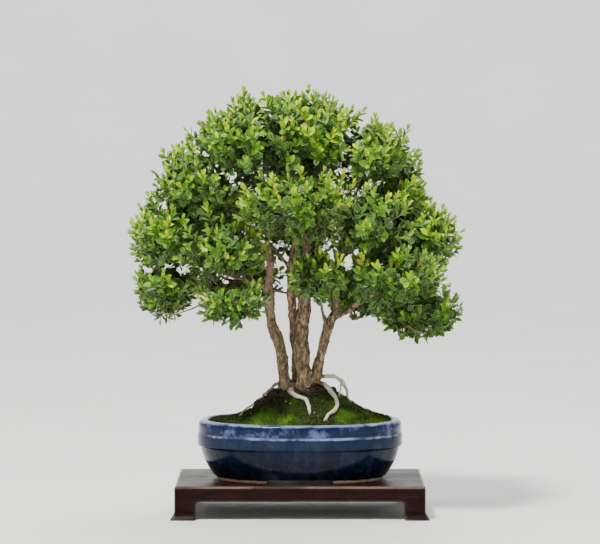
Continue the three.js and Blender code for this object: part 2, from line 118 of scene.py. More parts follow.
def add_light(name, place, aim, size, power, tint):
    data = bpy.data.lights.new(name, "AREA")
    data.shape = "DISK"
    data.size = size
    data.energy = power
    data.color = tint
    light = add_object(name, data)
    light.location = place
    light.rotation_euler = (aim - place).to_track_quat("-Z", "Y").to_euler()


def light_studio():
    for name, (place, size, power, tint) in STUDIO_LIGHTS.items():
        add_light(name, Vector(place), LIGHT_AIM, size, power, tint)
    for name, (side, power) in WALL_LIGHTS.items():
        outwards = Vector((*side, 0))
        place = outwards * WALL_LIGHT_OUT + UP * WALL_LIGHT_HEIGHT
        add_light(name + "_wall_light", place, outwards * ROOM_RADIUS + UP, WALL_LIGHT_SIZE, power, WHITE)
    world = bpy.data.worlds.new("soft_room")
    world.use_nodes = True
    background = world.node_tree.nodes["Background"].inputs
    background["Color"].default_value = ROOM_GLOW
    background["Strength"].default_value = ROOM_STRENGTH
    bpy.context.scene.world = world


# Shader graphs

class Graph:
    """Adds nodes to a shader tree, and links what they are given."""

    def __init__(self, tree, material=None):
        self.tree = tree
        self.material = material

    def node(self, kind, settings=None, values=None):
        made = self.tree.nodes.new(kind)
        for key, value in (settings or {}).items():
            setattr(made, key, value)
        for key, value in (values or {}).items():
            self.feed(made.inputs[key], value)
        return made

    def feed(self, socket, value):
        if isinstance(value, bpy.types.NodeSocket):
            self.tree.links.new(value, socket)
        else:
            socket.default_value = value

    def coords(self, scale=(1, 1, 1)):
        place = self.node("ShaderNodeTexCoord").outputs["Object"]
        return self.node("ShaderNodeMapping", values={"Vector": place, "Scale": scale}).outputs["Vector"]

    def axes(self, vector):
        return self.node("ShaderNodeSeparateXYZ", values={"Vector": vector}).outputs

    def attribute(self, name):
        return self.node("ShaderNodeAttribute", {"attribute_name": name}).outputs["Fac"]

    def noise(self, vector, scale, detail=4, roughness=0.55, distortion=0):
        return self.node("ShaderNodeTexNoise", None, {
            "Vector": vector, "Scale": scale, "Detail": detail,
            "Roughness": roughness, "Distortion": distortion,
        }).outputs["Fac"]

    def cells(self, vector, scale, feature="F1"):
        return self.node("ShaderNodeTexVoronoi", {"feature": feature}, {
            "Vector": vector, "Scale": scale, "Randomness": 1,
        }).outputs["Distance"]

    def span(self, value, low, high, to_low=0, to_high=1):
        return self.node("ShaderNodeMapRange", {"clamp": True, "interpolation_type": "SMOOTHSTEP"}, {
            "Value": value, "From Min": low, "From Max": high, "To Min": to_low, "To Max": to_high,
        }).outputs["Result"]

    def spread(self, value, low, high):
        return self.span(value, 0, 1, low, high)

    def maths(self, operation, first, second=0):
        made = self.node("ShaderNodeMath", {"operation": operation})
        self.feed(made.inputs[0], first)
        self.feed(made.inputs[1], second)
        return made.outputs[0]

    plus = partialmethod(maths, "ADD")
    minus = partialmethod(maths, "SUBTRACT")
    times = partialmethod(maths, "MULTIPLY")

    def apart(self, first, second):
        return self.maths("ABSOLUTE", self.minus(first, second))

    def largest(self, first, *others):
        for other in others:
            first = self.maths("MAXIMUM", first, other)
        return first

    def mix(self, share, first, second, blend="MIX"):
        made = self.node("ShaderNodeMix", {"data_type": "RGBA", "blend_type": blend})
        self.feed(made.inputs[0], share)
        self.feed(made.inputs[6], first)
        self.feed(made.inputs[7], second)
        return made.outputs[2]

    def over(self, base, mask, red, green, blue):
        """A plain colour laid over the base where the mask is 1."""
        return self.mix(mask, base, (red, green, blue, 1))

    def washed(self, base, mask, strength, *colour):
        return self.over(base, self.times(mask, strength), *colour)

    def ramp(self, value, *stops):
        """Colours along a value. Each stop is its place, red, green and blue."""
        made = self.node("ShaderNodeValToRGB", values={"Fac": value})
        elements = made.color_ramp.elements
        while len(elements) < len(stops):
            elements.new(0.5)
        for element, (place, *colour) in zip(elements, stops):
            element.position = place
            element.color = (*colour, 1)
        return made.outputs["Color"]

    def bump(self, height, distance, strength):
        return self.node("ShaderNodeBump", values={
            "Height": height, "Distance": distance, "Strength": strength,
        }).outputs["Normal"]

    def done(self, base, roughness, normal=None):
        """The material, once its shader is fed what changes over the surface."""
        shader = self.tree.nodes["Principled BSDF"].inputs
        self.feed(shader["Base Color"], base)
        self.feed(shader["Roughness"], roughness)
        if normal is not None:
            self.feed(shader["Normal"], normal)
        return self.material


def mottle_group():
    """Soft patches and fine specks, which all the surfaces here share at scales of their own."""
    tree = bpy.data.node_groups.new("mottle", "ShaderNodeTree")
    for label, scale in (("Patch Scale", 40), ("Speck Scale", 400)):
        made = tree.interface.new_socket(label, in_out="INPUT", socket_type="NodeSocketFloat")
        made.default_value = scale
    for label in ("Patches", "Specks"):
        tree.interface.new_socket(label, in_out="OUTPUT", socket_type="NodeSocketFloat")
    entry = tree.nodes.new("NodeGroupInput").outputs
    leave = tree.nodes.new("NodeGroupOutput").inputs
    graph = Graph(tree)
    place = graph.coords()
    patches = graph.noise(place, entry["Patch Scale"], detail=5)
    specks = graph.noise(place, entry["Speck Scale"], detail=2)
    graph.feed(leave["Patches"], graph.span(patches, 0.3, 0.7))
    graph.feed(leave["Specks"], graph.span(specks, 0.35, 0.65))
    return tree


MOTTLE = mottle_group()


def new_finish(name, patch_scale, speck_scale, specular, others=None):
    """A new material's graph, patches and specks. Its constants are set on the shader's own sockets."""
    material = bpy.data.materials.new(name)
    material.use_nodes = True
    shader = material.node_tree.nodes["Principled BSDF"].inputs
    for key, value in {"Specular IOR Level": specular, **(others or {})}.items():
        shader[key].default_value = value
    graph = Graph(material.node_tree, material)
    scales = {"Patch Scale": patch_scale, "Speck Scale": speck_scale}
    made = graph.node("ShaderNodeGroup", {"node_tree": MOTTLE}, scales).outputs
    return graph, made["Patches"], made["Specks"]


# Materials

UNDERSIDE_SHIFT = 4
YELLOWED_TONE = 0.99


def leaf_material():
    """Its UV map runs across and along the blade, and is shifted sideways on the underside."""
    graph, patches, specks = new_finish("boxwood_leaf", 90, 700, 0.26)
    age = graph.attribute("age")
    tone = graph.attribute("tone")
    across, along, _ = graph.axes(graph.node("ShaderNodeUVMap", {"uv_map": "blade"}).outputs["UV"])
    under = graph.maths("GREATER_THAN", across, UNDERSIDE_SHIFT / 2)
    centred = graph.minus(across, graph.times(under, UNDERSIDE_SHIFT))
    from_rib = graph.maths("ABSOLUTE", centred)

    # The age attribute also carries painted shade: leaves low on the tree, under a spray and deep in the
    # crown come out darker.
    shade = graph.plus(age, graph.times(graph.minus(patches, 0.5), 0.16))
    top = graph.ramp(shade,
        (0, 0.7, 0.8, 0.008), (0.18, 0.42, 0.66, 0.004), (0.42, 0.14, 0.36, 0.003),
        (0.7, 0.045, 0.16, 0.012), (1, 0.02, 0.072, 0.019),
    )
    dulled = graph.ramp(tone, (0, 0.62, 0.72, 0.9), (0.45, 0.95, 0.97, 1), (1, 1.3, 1.2, 0.75))
    top = graph.mix(1.0, top, dulled, "MULTIPLY")
    top = graph.over(top, graph.span(tone, YELLOWED_TONE - 0.002, YELLOWED_TONE + 0.002), 0.46, 0.36, 0.05)
    margin = graph.times(graph.span(from_rib, 0.72, 1.0), graph.span(age, 0.2, 0.6, 0.1, 0.7))
    top = graph.over(top, margin, 0.38, 0.5, 0.15)
    rib = graph.span(from_rib, 0.1, 0.0, 0, 0.45)
    top = graph.over(top, rib, 0.38, 0.52, 0.1)
    base = graph.mix(under, top, graph.over(top, 0.4, 0.26, 0.38, 0.12))
    base = graph.washed(base, specks, 0.08, 0.26, 0.34, 0.04)

    slanted = graph.node("ShaderNodeCombineXYZ", values={
        "X": centred, "Y": graph.minus(along, graph.times(from_rib, 0.35)),
    }).outputs["Vector"]
    veins = graph.node("ShaderNodeTexWave", {"wave_type": "BANDS", "bands_direction": "Y"}, {
        "Vector": slanted, "Scale": 3.2, "Distortion": 0.6,
    }).outputs["Fac"]
    height = graph.plus(graph.times(veins, 0.35), graph.times(rib, -1))
    return graph.done(base, graph.spread(patches, 0.3, 0.46), graph.bump(height, 0.25 * MM, 0.6))


def twig_material():
    graph, patches, specks = new_finish("green_and_brown_twig", 120, 900, 0.3)
    base = graph.ramp(graph.attribute("age"),
        (0, 0.36, 0.44, 0.09), (0.45, 0.25, 0.24, 0.1), (1, 0.17, 0.12, 0.075),
    )
    base = graph.washed(base, patches, 0.4, 0.36, 0.29, 0.2)
    return graph.done(base, graph.spread(specks, 0.6, 0.85), graph.bump(specks, 0.2 * MM, 0.7))


def bark_material():
    """Furrowed plates on the trunks, smooth pale skin on the roots, and what the wood's own layers mark."""
    graph, patches, specks = new_finish("fissured_bark", 34, 520, 0.25)
    grain = graph.coords((1, 1, 0.36))
    plates = graph.noise(grain, 190, detail=6, roughness=0.66, distortion=0.5)
    fissure = graph.span(graph.cells(grain, 230, "DISTANCE_TO_EDGE"), 0.0, 0.22)
    flakes = graph.span(graph.noise(graph.coords((1, 1, 0.6)), 150, detail=5, roughness=0.65), 0.5, 0.6)
    base = graph.ramp(plates,
        (0.34, 0.03, 0.02, 0.012), (0.45, 0.12, 0.08, 0.046), (0.55, 0.28, 0.19, 0.105),
        (0.65, 0.62, 0.47, 0.29),
    )
    base = graph.washed(base, flakes, 0.55, 0.55, 0.38, 0.2)
    base = graph.washed(base, patches, 0.3, 0.15, 0.12, 0.08)
    # Dark in the fissures: partly the bark's own dark cracks, partly painted shade in the furrows.
    base = graph.over(base, graph.spread(fissure, 0.4, 0), 0.05, 0.035, 0.025)
    base = graph.washed(base, graph.attribute("fresh"), 0.7, 0.3, 0.17, 0.115)
    chipped = graph.times(graph.attribute("scar"), graph.span(plates, 0.4, 0.56, 0.2, 0.9))
    base = graph.over(base, chipped, 0.62, 0.5, 0.34)
    root_skin = graph.ramp(plates,
        (0.3, 0.4, 0.34, 0.25), (0.5, 0.66, 0.6, 0.47), (0.8, 0.8, 0.75, 0.62),
    )
    base = graph.mix(graph.attribute("root"), base, root_skin)
    soiled = graph.times(graph.attribute("dirt"), graph.spread(patches, 0.55, 1))
    base = graph.over(base, soiled, 0.045, 0.036, 0.025)
    height = plates
    for layer, strength in ((fissure, 0.25), (flakes, 0.25), (specks, 0.2)):
        height = graph.plus(height, graph.times(layer, strength))
    return graph.done(base, graph.spread(specks, 0.7, 0.95), graph.bump(height, 0.9 * MM, 0.85))


def moss_material():
    graph, patches, specks = new_finish("cushion_moss", 26, 480, 0.1, {"Sheen Weight": 0.08})
    light = graph.plus(graph.times(graph.attribute("light"), 0.7), graph.times(patches, 0.3))
    base = graph.ramp(light,
        (0, 0.011, 0.01, 0.005), (0.3, 0.012, 0.021, 0.003), (0.6, 0.024, 0.062, 0.003),
        (1, 0.1, 0.205, 0.006),
    )
    base = graph.over(base, graph.span(specks, 0.3, 1.0, 0, 0.25), 0.09, 0.18, 0.008)
    bare = graph.span(graph.noise(graph.coords(), 48, detail=6, roughness=0.7), 0.6, 0.7)
    base = graph.washed(base, bare, 0.7, 0.06, 0.045, 0.025)
    height = graph.plus(graph.noise(graph.coords(), 900, detail=3), graph.times(patches, 0.4))
    return graph.done(base, graph.spread(specks, 0.85, 1), graph.bump(height, 0.9 * MM, 0.9))


def grit_material():
    graph, patches, specks = new_finish("pale_grit", 160, 1200, 0.3)
    base = graph.ramp(patches, (0, 0.08, 0.06, 0.04), (0.5, 0.26, 0.2, 0.13), (1, 0.5, 0.45, 0.34))
    return graph.done(base, graph.spread(specks, 0.7, 0.95))


# Height over the pot's foot of each edge where the glaze runs thin, and how far from it, in metres
GLAZE_BREAKS = [(80 * MM, 2.4 * MM), (62.4 * MM, 2.4 * MM)]


def glaze_material():
    """A deep blue glaze that runs thin and milky on the edges, and stops above the bare clay of the feet."""
    graph, patches, specks = new_finish("deep_blue_glaze", 22, 620, 0.15)
    place = graph.coords()
    wander = graph.noise(graph.coords((1, 1, 0.6)), 60, detail=5, roughness=0.6)
    streaks = graph.noise(graph.coords((1, 1, 0.12)), 130)

    over_foot = graph.minus(graph.axes(place)["Z"], POT_LOW.z)
    uneven = graph.plus(over_foot, graph.times(graph.minus(wander, 0.5), 3.2 * MM))
    body = graph.ramp(graph.maths("DIVIDE", uneven, POT_HIGH.z - POT_LOW.z),
        (0, 0.002, 0.003, 0.006), (0.3, 0.002, 0.004, 0.011), (0.52, 0.003, 0.007, 0.02),
        (0.7, 0.003, 0.011, 0.037), (1, 0.004, 0.012, 0.045),
    )
    body = graph.over(body, graph.span(streaks, 0.45, 0.75, 0, 0.35), 0.008, 0.022, 0.07)
    thin = graph.largest(*[
        graph.span(graph.apart(uneven, level), reach, reach * 0.25) for level, reach in GLAZE_BREAKS
    ])
    ragged = graph.span(graph.plus(wander, graph.times(patches, 0.25)), 0.46, 0.72, 0.1, 0.85)
    body = graph.over(body, graph.times(thin, ragged), 0.23, 0.26, 0.42)
    # Milky clouds between the ridge and the rim: partly the glaze's own milky patches, partly a painted
    # highlight.
    clouds = graph.span(graph.noise(place, 30, detail=9, roughness=0.74), 0.48, 0.64, 0, 0.7)
    milky_glaze_and_highlight = graph.times(clouds, graph.span(uneven, 60 * MM, 66 * MM, 0.1, 1))
    body = graph.over(body, milky_glaze_and_highlight, 0.13, 0.17, 0.33)
    clay = graph.ramp(graph.noise(place, 300), (0.3, 0.42, 0.27, 0.2), (0.7, 0.66, 0.48, 0.38))
    bare = graph.span(uneven, 5.2 * MM, 3.8 * MM)
    roughness = graph.plus(graph.spread(patches, 0.07, 0.16), graph.times(bare, 0.65))
    dents = graph.plus(graph.times(wander, 0.6), graph.times(specks, 0.08))
    return graph.done(graph.mix(bare, body, clay), roughness, graph.bump(dents, 0.5 * MM, 0.5))


STAND_NODES = sorted(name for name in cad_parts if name.startswith("stand_"))
ARRIS = 2.4 * MM


def board_sides():
    """The outermost places of the stand's board along x and y."""
    top = [vert.co for node in STAND_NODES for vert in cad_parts[node].data.vertices
           if vert.co.z > POT_LOW.z - 2 * ARRIS]
    return [(min(place[axis] for place in top), max(place[axis] for place in top)) for axis in (0, 1)]


def lacquer_material():
    """Dark red-brown lacquer over straight-grained wood, painted paler on its edges: partly rubbed wear,
    partly a painted highlight, strongest along the board's top arris.
    """
    coat = {"Coat Weight": 0.08, "Coat Roughness": 0.15}
    graph, patches, specks = new_finish("red_brown_lacquer", 14, 900, 0.06, coat)
    grain = graph.noise(graph.coords((0.08, 1, 1)), 260, detail=6, roughness=0.6, distortion=0.3)
    base = graph.ramp(grain,
        (0.3, 0.004, 0.0007, 0.0004), (0.55, 0.011, 0.0018, 0.0009), (0.8, 0.026, 0.0044, 0.002),
    )
    base = graph.washed(base, patches, 0.3, 0.014, 0.003, 0.002)
    place = graph.axes(graph.coords())
    near_side = []
    for axis, (low, high) in zip("XY", board_sides()):
        half = (high - low) / 2
        from_middle = graph.apart(place[axis], (low + high) / 2)
        near_side.append(graph.span(from_middle, half - 1.6 * ARRIS, half - 0.8 * ARRIS))
    near_top = graph.span(place["Z"], POT_LOW.z - 1.5 * ARRIS, POT_LOW.z - 0.9 * ARRIS)
    # Painted highlight: a pale band along the board's top arris, where light from above would catch it.
    arris_highlight = graph.times(graph.largest(*near_side), near_top)
    edge = graph.largest(arris_highlight, graph.times(graph.attribute("edge"), 0.22))
    # Pale paint on the edges: partly rubbed wear, partly painted highlight.
    worn_and_highlight = graph.times(edge, graph.span(patches, 0.2, 0.8, 0.3, 0.85))
    base = graph.over(base, worn_and_highlight, 0.16, 0.11, 0.09)
    base = graph.over(base, graph.span(specks, 0.8, 1.0, 0, 0.05), 0.2, 0.17, 0.15)
    roughness = graph.minus(graph.spread(patches, 0.28, 0.42), graph.times(edge, 0.16))
    return graph.done(base, roughness, graph.bump(grain, 0.05 * MM, 0.3))


def soil_material():
    graph, patches, specks = new_finish("dark_soil", 60, 420, 0.2)
    crumbs = graph.cells(graph.coords(), 380)
    base = graph.ramp(crumbs, (0, 0.06, 0.045, 0.03), (0.6, 0.025, 0.018, 0.012))
    base = graph.washed(base, patches, 0.3, 0.09, 0.07, 0.045)
    return graph.done(base, graph.spread(specks, 0.85, 1), graph.bump(crumbs, 1.2 * MM, 0.9))


def plastic_material():
    graph, patches, specks = new_finish("dark_plastic_mesh", 80, 1500, 0.4)
    base = graph.over((0.02, 0.022, 0.024, 1), patches, 0.04, 0.042, 0.044)
    return graph.done(base, graph.spread(specks, 0.5, 0.7), graph.bump(specks, 0.05 * MM, 0.4))


def floor_material():
    graph, patches, specks = new_finish("pale_floor", 3, 60, 0.2)
    base = graph.over((0.74, 0.74, 0.73, 1), patches, 0.78, 0.78, 0.77)
    return graph.done(base, graph.spread(specks, 0.65, 0.75))


# Meshes and pieces

def dress(mesh, material):
    mesh.materials.clear()
    mesh.materials.append(material)


def put(name, mesh, material, slot, *nodes):
    """Makes a finished mesh a piece of the object, in place of the CAD nodes that it stands for."""
    mesh.name = name
    dress(mesh, material)
    piece = add_object(name, mesh)
    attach(piece, "root")
    if nodes:
        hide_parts(*nodes)


def bmesh_from(mesh):
    bm = bmesh.new()
    bm.from_mesh(mesh)
    return bm


def mesh_of(bm, smooth=True):
    mesh = bpy.data.meshes.new("made")
    for face in bm.faces:
        face.smooth = smooth
    bm.to_mesh(mesh)
    bm.free()
    return mesh


def merge(bm, distance):
    bmesh.ops.remove_doubles(bm, verts=bm.verts[:], dist=distance)


def split_large_faces(bm):
    bmesh.ops.triangulate(bm, faces=[face for face in bm.faces if len(face.verts) > 4])


def merged_copy(node):
    """A copy of a CAD node's mesh with its loose triangles merged into one shell."""
    bm = bmesh_from(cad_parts[node].data)
    merge(bm, 0.002 * MM)
    return bm


def with_modifiers(mesh, modifiers):
    """The mesh after a stack of modifiers, each a kind and its settings."""
    holder = add_object("holder", mesh)
    for kind, settings in modifiers:
        modifier = holder.modifiers.new(kind.lower(), kind)
        for key, value in settings.items():
            setattr(modifier, key, value)
    graph = bpy.context.evaluated_depsgraph_get()
    made = bpy.data.meshes.new_from_object(holder.evaluated_get(graph), depsgraph=graph)
    bpy.data.objects.remove(holder)
    return made


def joined_mesh(mesh, others, operation):
    """A mesh joined with others, or cut by them."""
    holders = [add_object("cutter", other) for other in others]
    made = with_modifiers(mesh, [
        ("BOOLEAN", {"operation": operation, "solver": "EXACT", "object": holder}) for holder in holders
    ])
    for holder in holders:
        bpy.data.objects.remove(holder)
    return made


def spun(outline, steps):
    """An outline of radii and heights, turned once round the Z axis."""
    bm = bmesh.new()
    line = [bm.verts.new((radius, 0, height)) for radius, height in outline]
    edges = [bm.edges.new(pair) for pair in zip(line, line[1:])]
    bmesh.ops.spin(bm, geom=line + edges, axis=UP, angle=math.tau, steps=steps, use_merge=True)
    merge(bm, 0.01 * MM)
    return bm


def copies_mesh(placed, layers, smooth):
    """One mesh of many small copies. Each entry is a mesh, its matrix and the values for its layers."""
    bm = bmesh.new()
    made = [bm.verts.layers.float.new(name) for name in layers]
    for mesh, _, _ in placed:
        bm.from_mesh(mesh, face_normals=False, vertex_normals=False)
    verts = iter(bm.verts)
    for mesh, place, values in placed:
        for vert in islice(verts, len(mesh.vertices)):
            vert.co = place @ vert.co
            for layer, value in zip(made, values):
                vert[layer] = value
    return mesh_of(bm, smooth)


def tubes(lines, resolution):
    """Round closed tubes. Each line is a list of points with their radii."""
    data = bpy.data.curves.new("tubes", "CURVE")
    data.dimensions = "3D"
    data.bevel_depth = 1
    data.bevel_resolution = resolution
    data.use_fill_caps = True
    for line in lines:
        spline = data.splines.new("POLY")
        spline.points.add(len(line) - 1)
        for point, (place, radius) in zip(spline.points, line):
            point.co = (*place, 1)
            point.radius = radius
    holder = bpy.data.objects.new("tubes", data)
    bm = bmesh_from(bpy.data.meshes.new_from_object(holder))
    bpy.data.objects.remove(holder)
    merge(bm, 0.001 * MM)
    bmesh.ops.recalc_face_normals(bm, faces=bm.faces[:])
    return bm


# Display stand

EDGE_ANGLE = math.radians(35)
ROUNDING = 1.8 * MM
# How far in the pale edge paint fades: partly rubbed wear, partly painted highlight.
WEAR_AND_HIGHLIGHT_FADE = 1.0 * MM


def build_stand(material):
    """The board, aprons and legs joined flush, with their hard edges rounded and marked for pale paint,
    partly rubbed wear and partly painted highlight.
    """
    parts = [mesh_of(merged_copy(node), smooth=False) for node in STAND_NODES]
    bm = bmesh_from(joined_mesh(parts[0], parts[1:], "UNION"))
    merge(bm, 0.01 * MM)
    bmesh.ops.dissolve_limit(bm, angle_limit=math.radians(1), verts=bm.verts[:], edges=bm.edges[:])
    edge = bm.verts.layers.float.new("edge")
    hard = [e for e in bm.edges if e.is_manifold and e.calc_face_angle() > EDGE_ANGLE]
    made = bmesh.ops.bevel(bm, geom=hard, offset=ROUNDING, offset_type="OFFSET", affect="EDGES", segments=3,
                           profile=0.5, material=-1, clamp_overlap=True)
    rounded = set(made["faces"])
    flat = [face for face in bm.faces if face not in rounded]
    for vert in made["verts"]:
        vert[edge] = 1
    bmesh.ops.inset_region(bm, faces=flat, thickness=WEAR_AND_HIGHLIGHT_FADE, use_even_offset=True, use_boundary=True)
    for face in flat:
        for vert in face.verts:
            vert[edge] = 0
    split_large_faces(bm)
    for seam in bm.edges:
        seam.smooth = not seam.is_manifold or seam.calc_face_angle() < EDGE_ANGLE
    put("stand_lacquered", mesh_of(bm), material, "lacquered_wood", *STAND_NODES)


# Pot, in millimetres from its middle and over its foot

POT_DEPTH_RATIO = (POT_HIGH.y - POT_LOW.y) / (POT_HIGH.x - POT_LOW.x)
POT_ROUNDNESS = 2.25
POT_STEPS = 72
POT_FLOOR = 12
# Radius along the pot's length and height, up the outside and down the inside
POT_OUTLINE = [
    (0, 6), (60, 6), (103.4, 6), (104.6, 5.4), (105.4, 0.4), (106.4, 0), (113.2, 0), (114.4, 0.5), (117, 4),
    (122, 11.5), (128, 21), (132.5, 31), (135.4, 41), (136, 44), (136.8, 45.2), (139, 46.2), (139.8, 47.4),
    (140, 50), (140, 60), (139.8, 62), (138.9, 63.2), (138.3, 64.6), (138.7, 69), (139, 74), (138.3, 77.4),
    (135.8, 80), (132, 81), (129, 81), (126.6, 80.6), (125.2, 79), (125.4, 70), (125.5, 46), (122, 30),
    (113, 18), (100, POT_FLOOR), (60, POT_FLOOR), (0, POT_FLOOR),
]
# Half the width of each gap between the feet, and its turn
FOOT_GAPS = [(42, 0), (30, math.pi / 2)]
FOOT_GAP_SLOPE = 5
FOOT_GAP_HEIGHT = 6
FOOT_GAP_REACH = 150
DRAIN_PLACE = 58
DRAIN_RADIUS = 9


def to_oval(vert):
    """Draws a round turned shape out to the pot's oval."""
    radius = math.hypot(vert.co.x, vert.co.y)
    if radius > 1e-6 * MM:
        bend = 2 / POT_ROUNDNESS
        cos, sin = vert.co.x / radius, vert.co.y / radius
        vert.co.x = radius * math.copysign(abs(cos) ** bend, cos)
        vert.co.y = radius * math.copysign(abs(sin) ** bend, sin) * POT_DEPTH_RATIO


def foot_cutter(half, turn):
    """A long block with slanted sides, that cuts a gap between two feet."""
    bm = bmesh.new()
    bmesh.ops.create_cube(bm, size=2)
    for vert in bm.verts:
        low = vert.co.z < 0
        vert.co.x *= (half + (FOOT_GAP_SLOPE if low else 0)) * MM
        vert.co.y *= FOOT_GAP_REACH * MM
        vert.co.z = -MM if low else FOOT_GAP_HEIGHT * MM
    bmesh.ops.rotate(bm, cent=(0, 0, 0), matrix=Matrix.Rotation(turn, 3, "Z"), verts=bm.verts[:])
    bmesh.ops.translate(bm, vec=POT_FOOT, verts=bm.verts[:])
    return mesh_of(bm, smooth=False)


def drain_cutter(side):
    bm = bmesh.new()
    radius = DRAIN_RADIUS * MM
    depth = 3 * POT_FLOOR * MM
    bmesh.ops.create_cone(bm, cap_ends=True, segments=24, radius1=radius, radius2=radius, depth=depth)
    bmesh.ops.translate(bm, vec=POT_FOOT + Vector((side * DRAIN_PLACE * MM, 0, 0)), verts=bm.verts[:])
    return mesh_of(bm, smooth=False)


def build_pot(material):
    bm = spun([(radius * MM, height * MM) for radius, height in POT_OUTLINE], POT_STEPS)
    for vert in bm.verts:
        to_oval(vert)
    bmesh.ops.recalc_face_normals(bm, faces=bm.faces[:])
    bmesh.ops.translate(bm, vec=POT_FOOT, verts=bm.verts[:])
    shell = with_modifiers(mesh_of(bm), [("SUBSURF", {"levels": 1, "render_levels": 1})])
    cutters = [foot_cutter(*gap) for gap in FOOT_GAPS] + [drain_cutter(side) for side in (-1, 1)]
    pot = joined_mesh(shell, cutters, "DIFFERENCE")
    pot.set_sharp_from_angle(angle=EDGE_ANGLE)
    put("pot_glazed", pot, material, "glaze", "pot")


# Moss, grit and soil, in millimetres from the pot's middle and over its foot

MOUND = {"x": 10, "y": 4, "edge": 76, "rise": 52, "spread": 80, "power": 2.2}
MOUND_EDGE = 124.2
HUMMOCKS = 1.6
# The middle and the reach of each flank of the mound along x, where the moss sinks
FLANKS = [(76, 34), (-72, 22)]
FLANK_DROP = 3
MOSS_THICK = 4
MOSS_SINK = 0.6
# The height and the closeness of the moss's lumps, from the broadest to the finest
MOSS_LUMPS = [(2.2, 0.06), (1.4, 0.15), (0.8, 0.42)]
# How steeply the lumps die away towards the pot's rim, and what is left of them there
RIM_FADE = 12
RIM_LUMPS = 0.2
# Bright cushions of moss: the middle and the reach of each
FRESH_MOSS = [(-56, -60, 30), (-20, -74, 18), (62, -44, 30), (98, -30, 24), (20, 70, 40), (-70, 40, 34)]
# The bare soil round the trunks: its middle, how much shallower than wide, its reach and its ragged soft edge
BARE_SOIL = {"x": 6, "y": 2, "flat": 1.2, "reach": 42, "ragged": 16, "soft": 14}


def moss_height(x, y):
    away = math.hypot(x - MOUND["x"], (y - MOUND["y"]) / POT_DEPTH_RATIO)
    share = math.exp(-((away / MOUND["spread"]) ** MOUND["power"]))
    hummocks = HUMMOCKS * math.sin(x * 0.11 + 1) * math.cos(y * 0.13 - 0.5) * min(1, 3 * share)
    return MOUND["edge"] + MOUND["rise"] * share + hummocks


def flank_drop(x):
    return sum(FLANK_DROP * math.exp(-((x - middle) / reach) ** 2) for middle, reach in FLANKS)


def moss_point(x, y, over=0):
    return MIDDLE + Vector((x * MM, y * MM, POT_LOW.z + (moss_height(x, y) + over) * MM))


def moss_light(x, y):
    """How bright the moss is: most on its freshest cushions. It is 0 on the bare soil round the trunks."""
    spot = Vector((x, y, 0))
    patch = noise.noise(spot * 0.05 + Vector((3, 1, 0)))
    fresh = max(math.exp(-((x - cx) ** 2 + (y - cy) ** 2) / reach ** 2) for cx, cy, reach in FRESH_MOSS)
    away = math.hypot(x - BARE_SOIL["x"], (y - BARE_SOIL["y"]) * BARE_SOIL["flat"])
    away += BARE_SOIL["ragged"] * noise.noise(spot * 0.06)
    return clamped(0.16 + 0.9 * fresh + 0.6 * patch) * rising(away, BARE_SOIL["reach"], BARE_SOIL["soft"])


def inside_oval(x, y):
    """Under 1 inside the moss's edge."""
    return abs(x / MOUND_EDGE) ** POT_ROUNDNESS + abs(y / MOUND_EDGE / POT_DEPTH_RATIO) ** POT_ROUNDNESS


def build_moss(material):
    """A square grid drawn out to a disc, then to the pot's oval, and laid over the mound in lumps."""
    bm = bmesh.new()
    light = bm.verts.layers.float.new("light")
    bmesh.ops.create_grid(bm, x_segments=150, y_segments=116, size=1)
    for vert in bm.verts:
        u, v = vert.co.x, vert.co.y
        across = u * math.sqrt(1 - v * v / 2)
        back = v * math.sqrt(1 - u * u / 2)
        vert.co = (across * MOUND_EDGE * MM, back * MOUND_EDGE * MM, 0)
        to_oval(vert)
        x, y = vert.co.x / MM, vert.co.y / MM
        lumps = sum(height * noise.noise(Vector((x, y, 0)) * closeness) for height, closeness in MOSS_LUMPS)
        inner = max(RIM_LUMPS, min(1, RIM_FADE * (1 - inside_oval(x, y))))
        vert[light] = moss_light(x, y)
        vert.co = moss_point(x, y, (lumps - flank_drop(x)) * inner - MOSS_SINK)
    skirt = bmesh.ops.extrude_edge_only(bm, edges=[edge for edge in bm.edges if edge.is_boundary])
    low = [part for part in skirt["geom"] if isinstance(part, bmesh.types.BMVert)]
    bmesh.ops.translate(bm, vec=UP * -MOSS_THICK * MM, verts=low)
    bmesh.ops.holes_fill(bm, edges=[edge for edge in bm.edges if edge.is_boundary], sides=0)
    split_large_faces(bm)
    bmesh.ops.recalc_face_normals(bm, faces=bm.faces[:])
    put("moss_bed", mesh_of(bm), material, "moss", "moss")


SCATTER_EDGE = 0.97
SCATTER_TILT = 0.3
TUFT_SEED = 11
TUFT_COUNT = 5200
TUFT_SIZES = (0.7, 1.35)
TUFT_BLADES = 4
TUFT_LEAN = (0.15, 0.7)
TUFT_RADIUS = 0.45
TUFT_LENGTH = 2.6
TUFT_MIDDLE = 1.0
TUFT_BRIGHTER = (-0.12, 0.3)
GRIT_SEED = 23
GRIT_COUNT = 170
GRIT_SIZES = (0.5, 1.2)
GRIT_ROUGHNESS = 0.3
LUMP_KINDS = 6


def tumbled(draw, turn, tilt):
    """A random turn about the upright, then a random tilt."""
    return Matrix.Rotation(draw.uniform(0, turn), 4, "Z") @ Matrix.Rotation(draw.uniform(-tilt, tilt), 4, "X")


def scattered_places(draw, count, sizes):
    """Places on the moss, each upright with its own turn and size, and how bright the moss is there."""
    found = []
    while len(found) < count:
        x = draw.uniform(-MOUND_EDGE, MOUND_EDGE)
        y = draw.uniform(-MOUND_EDGE, MOUND_EDGE) * POT_DEPTH_RATIO
        if inside_oval(x, y) > SCATTER_EDGE:
            continue
        turned = Matrix.Translation(moss_point(x, y, -flank_drop(x))) @ tumbled(draw, math.tau, SCATTER_TILT)
        found.append((turned @ Matrix.Scale(draw.uniform(*sizes), 4), moss_light(x, y)))
    return found


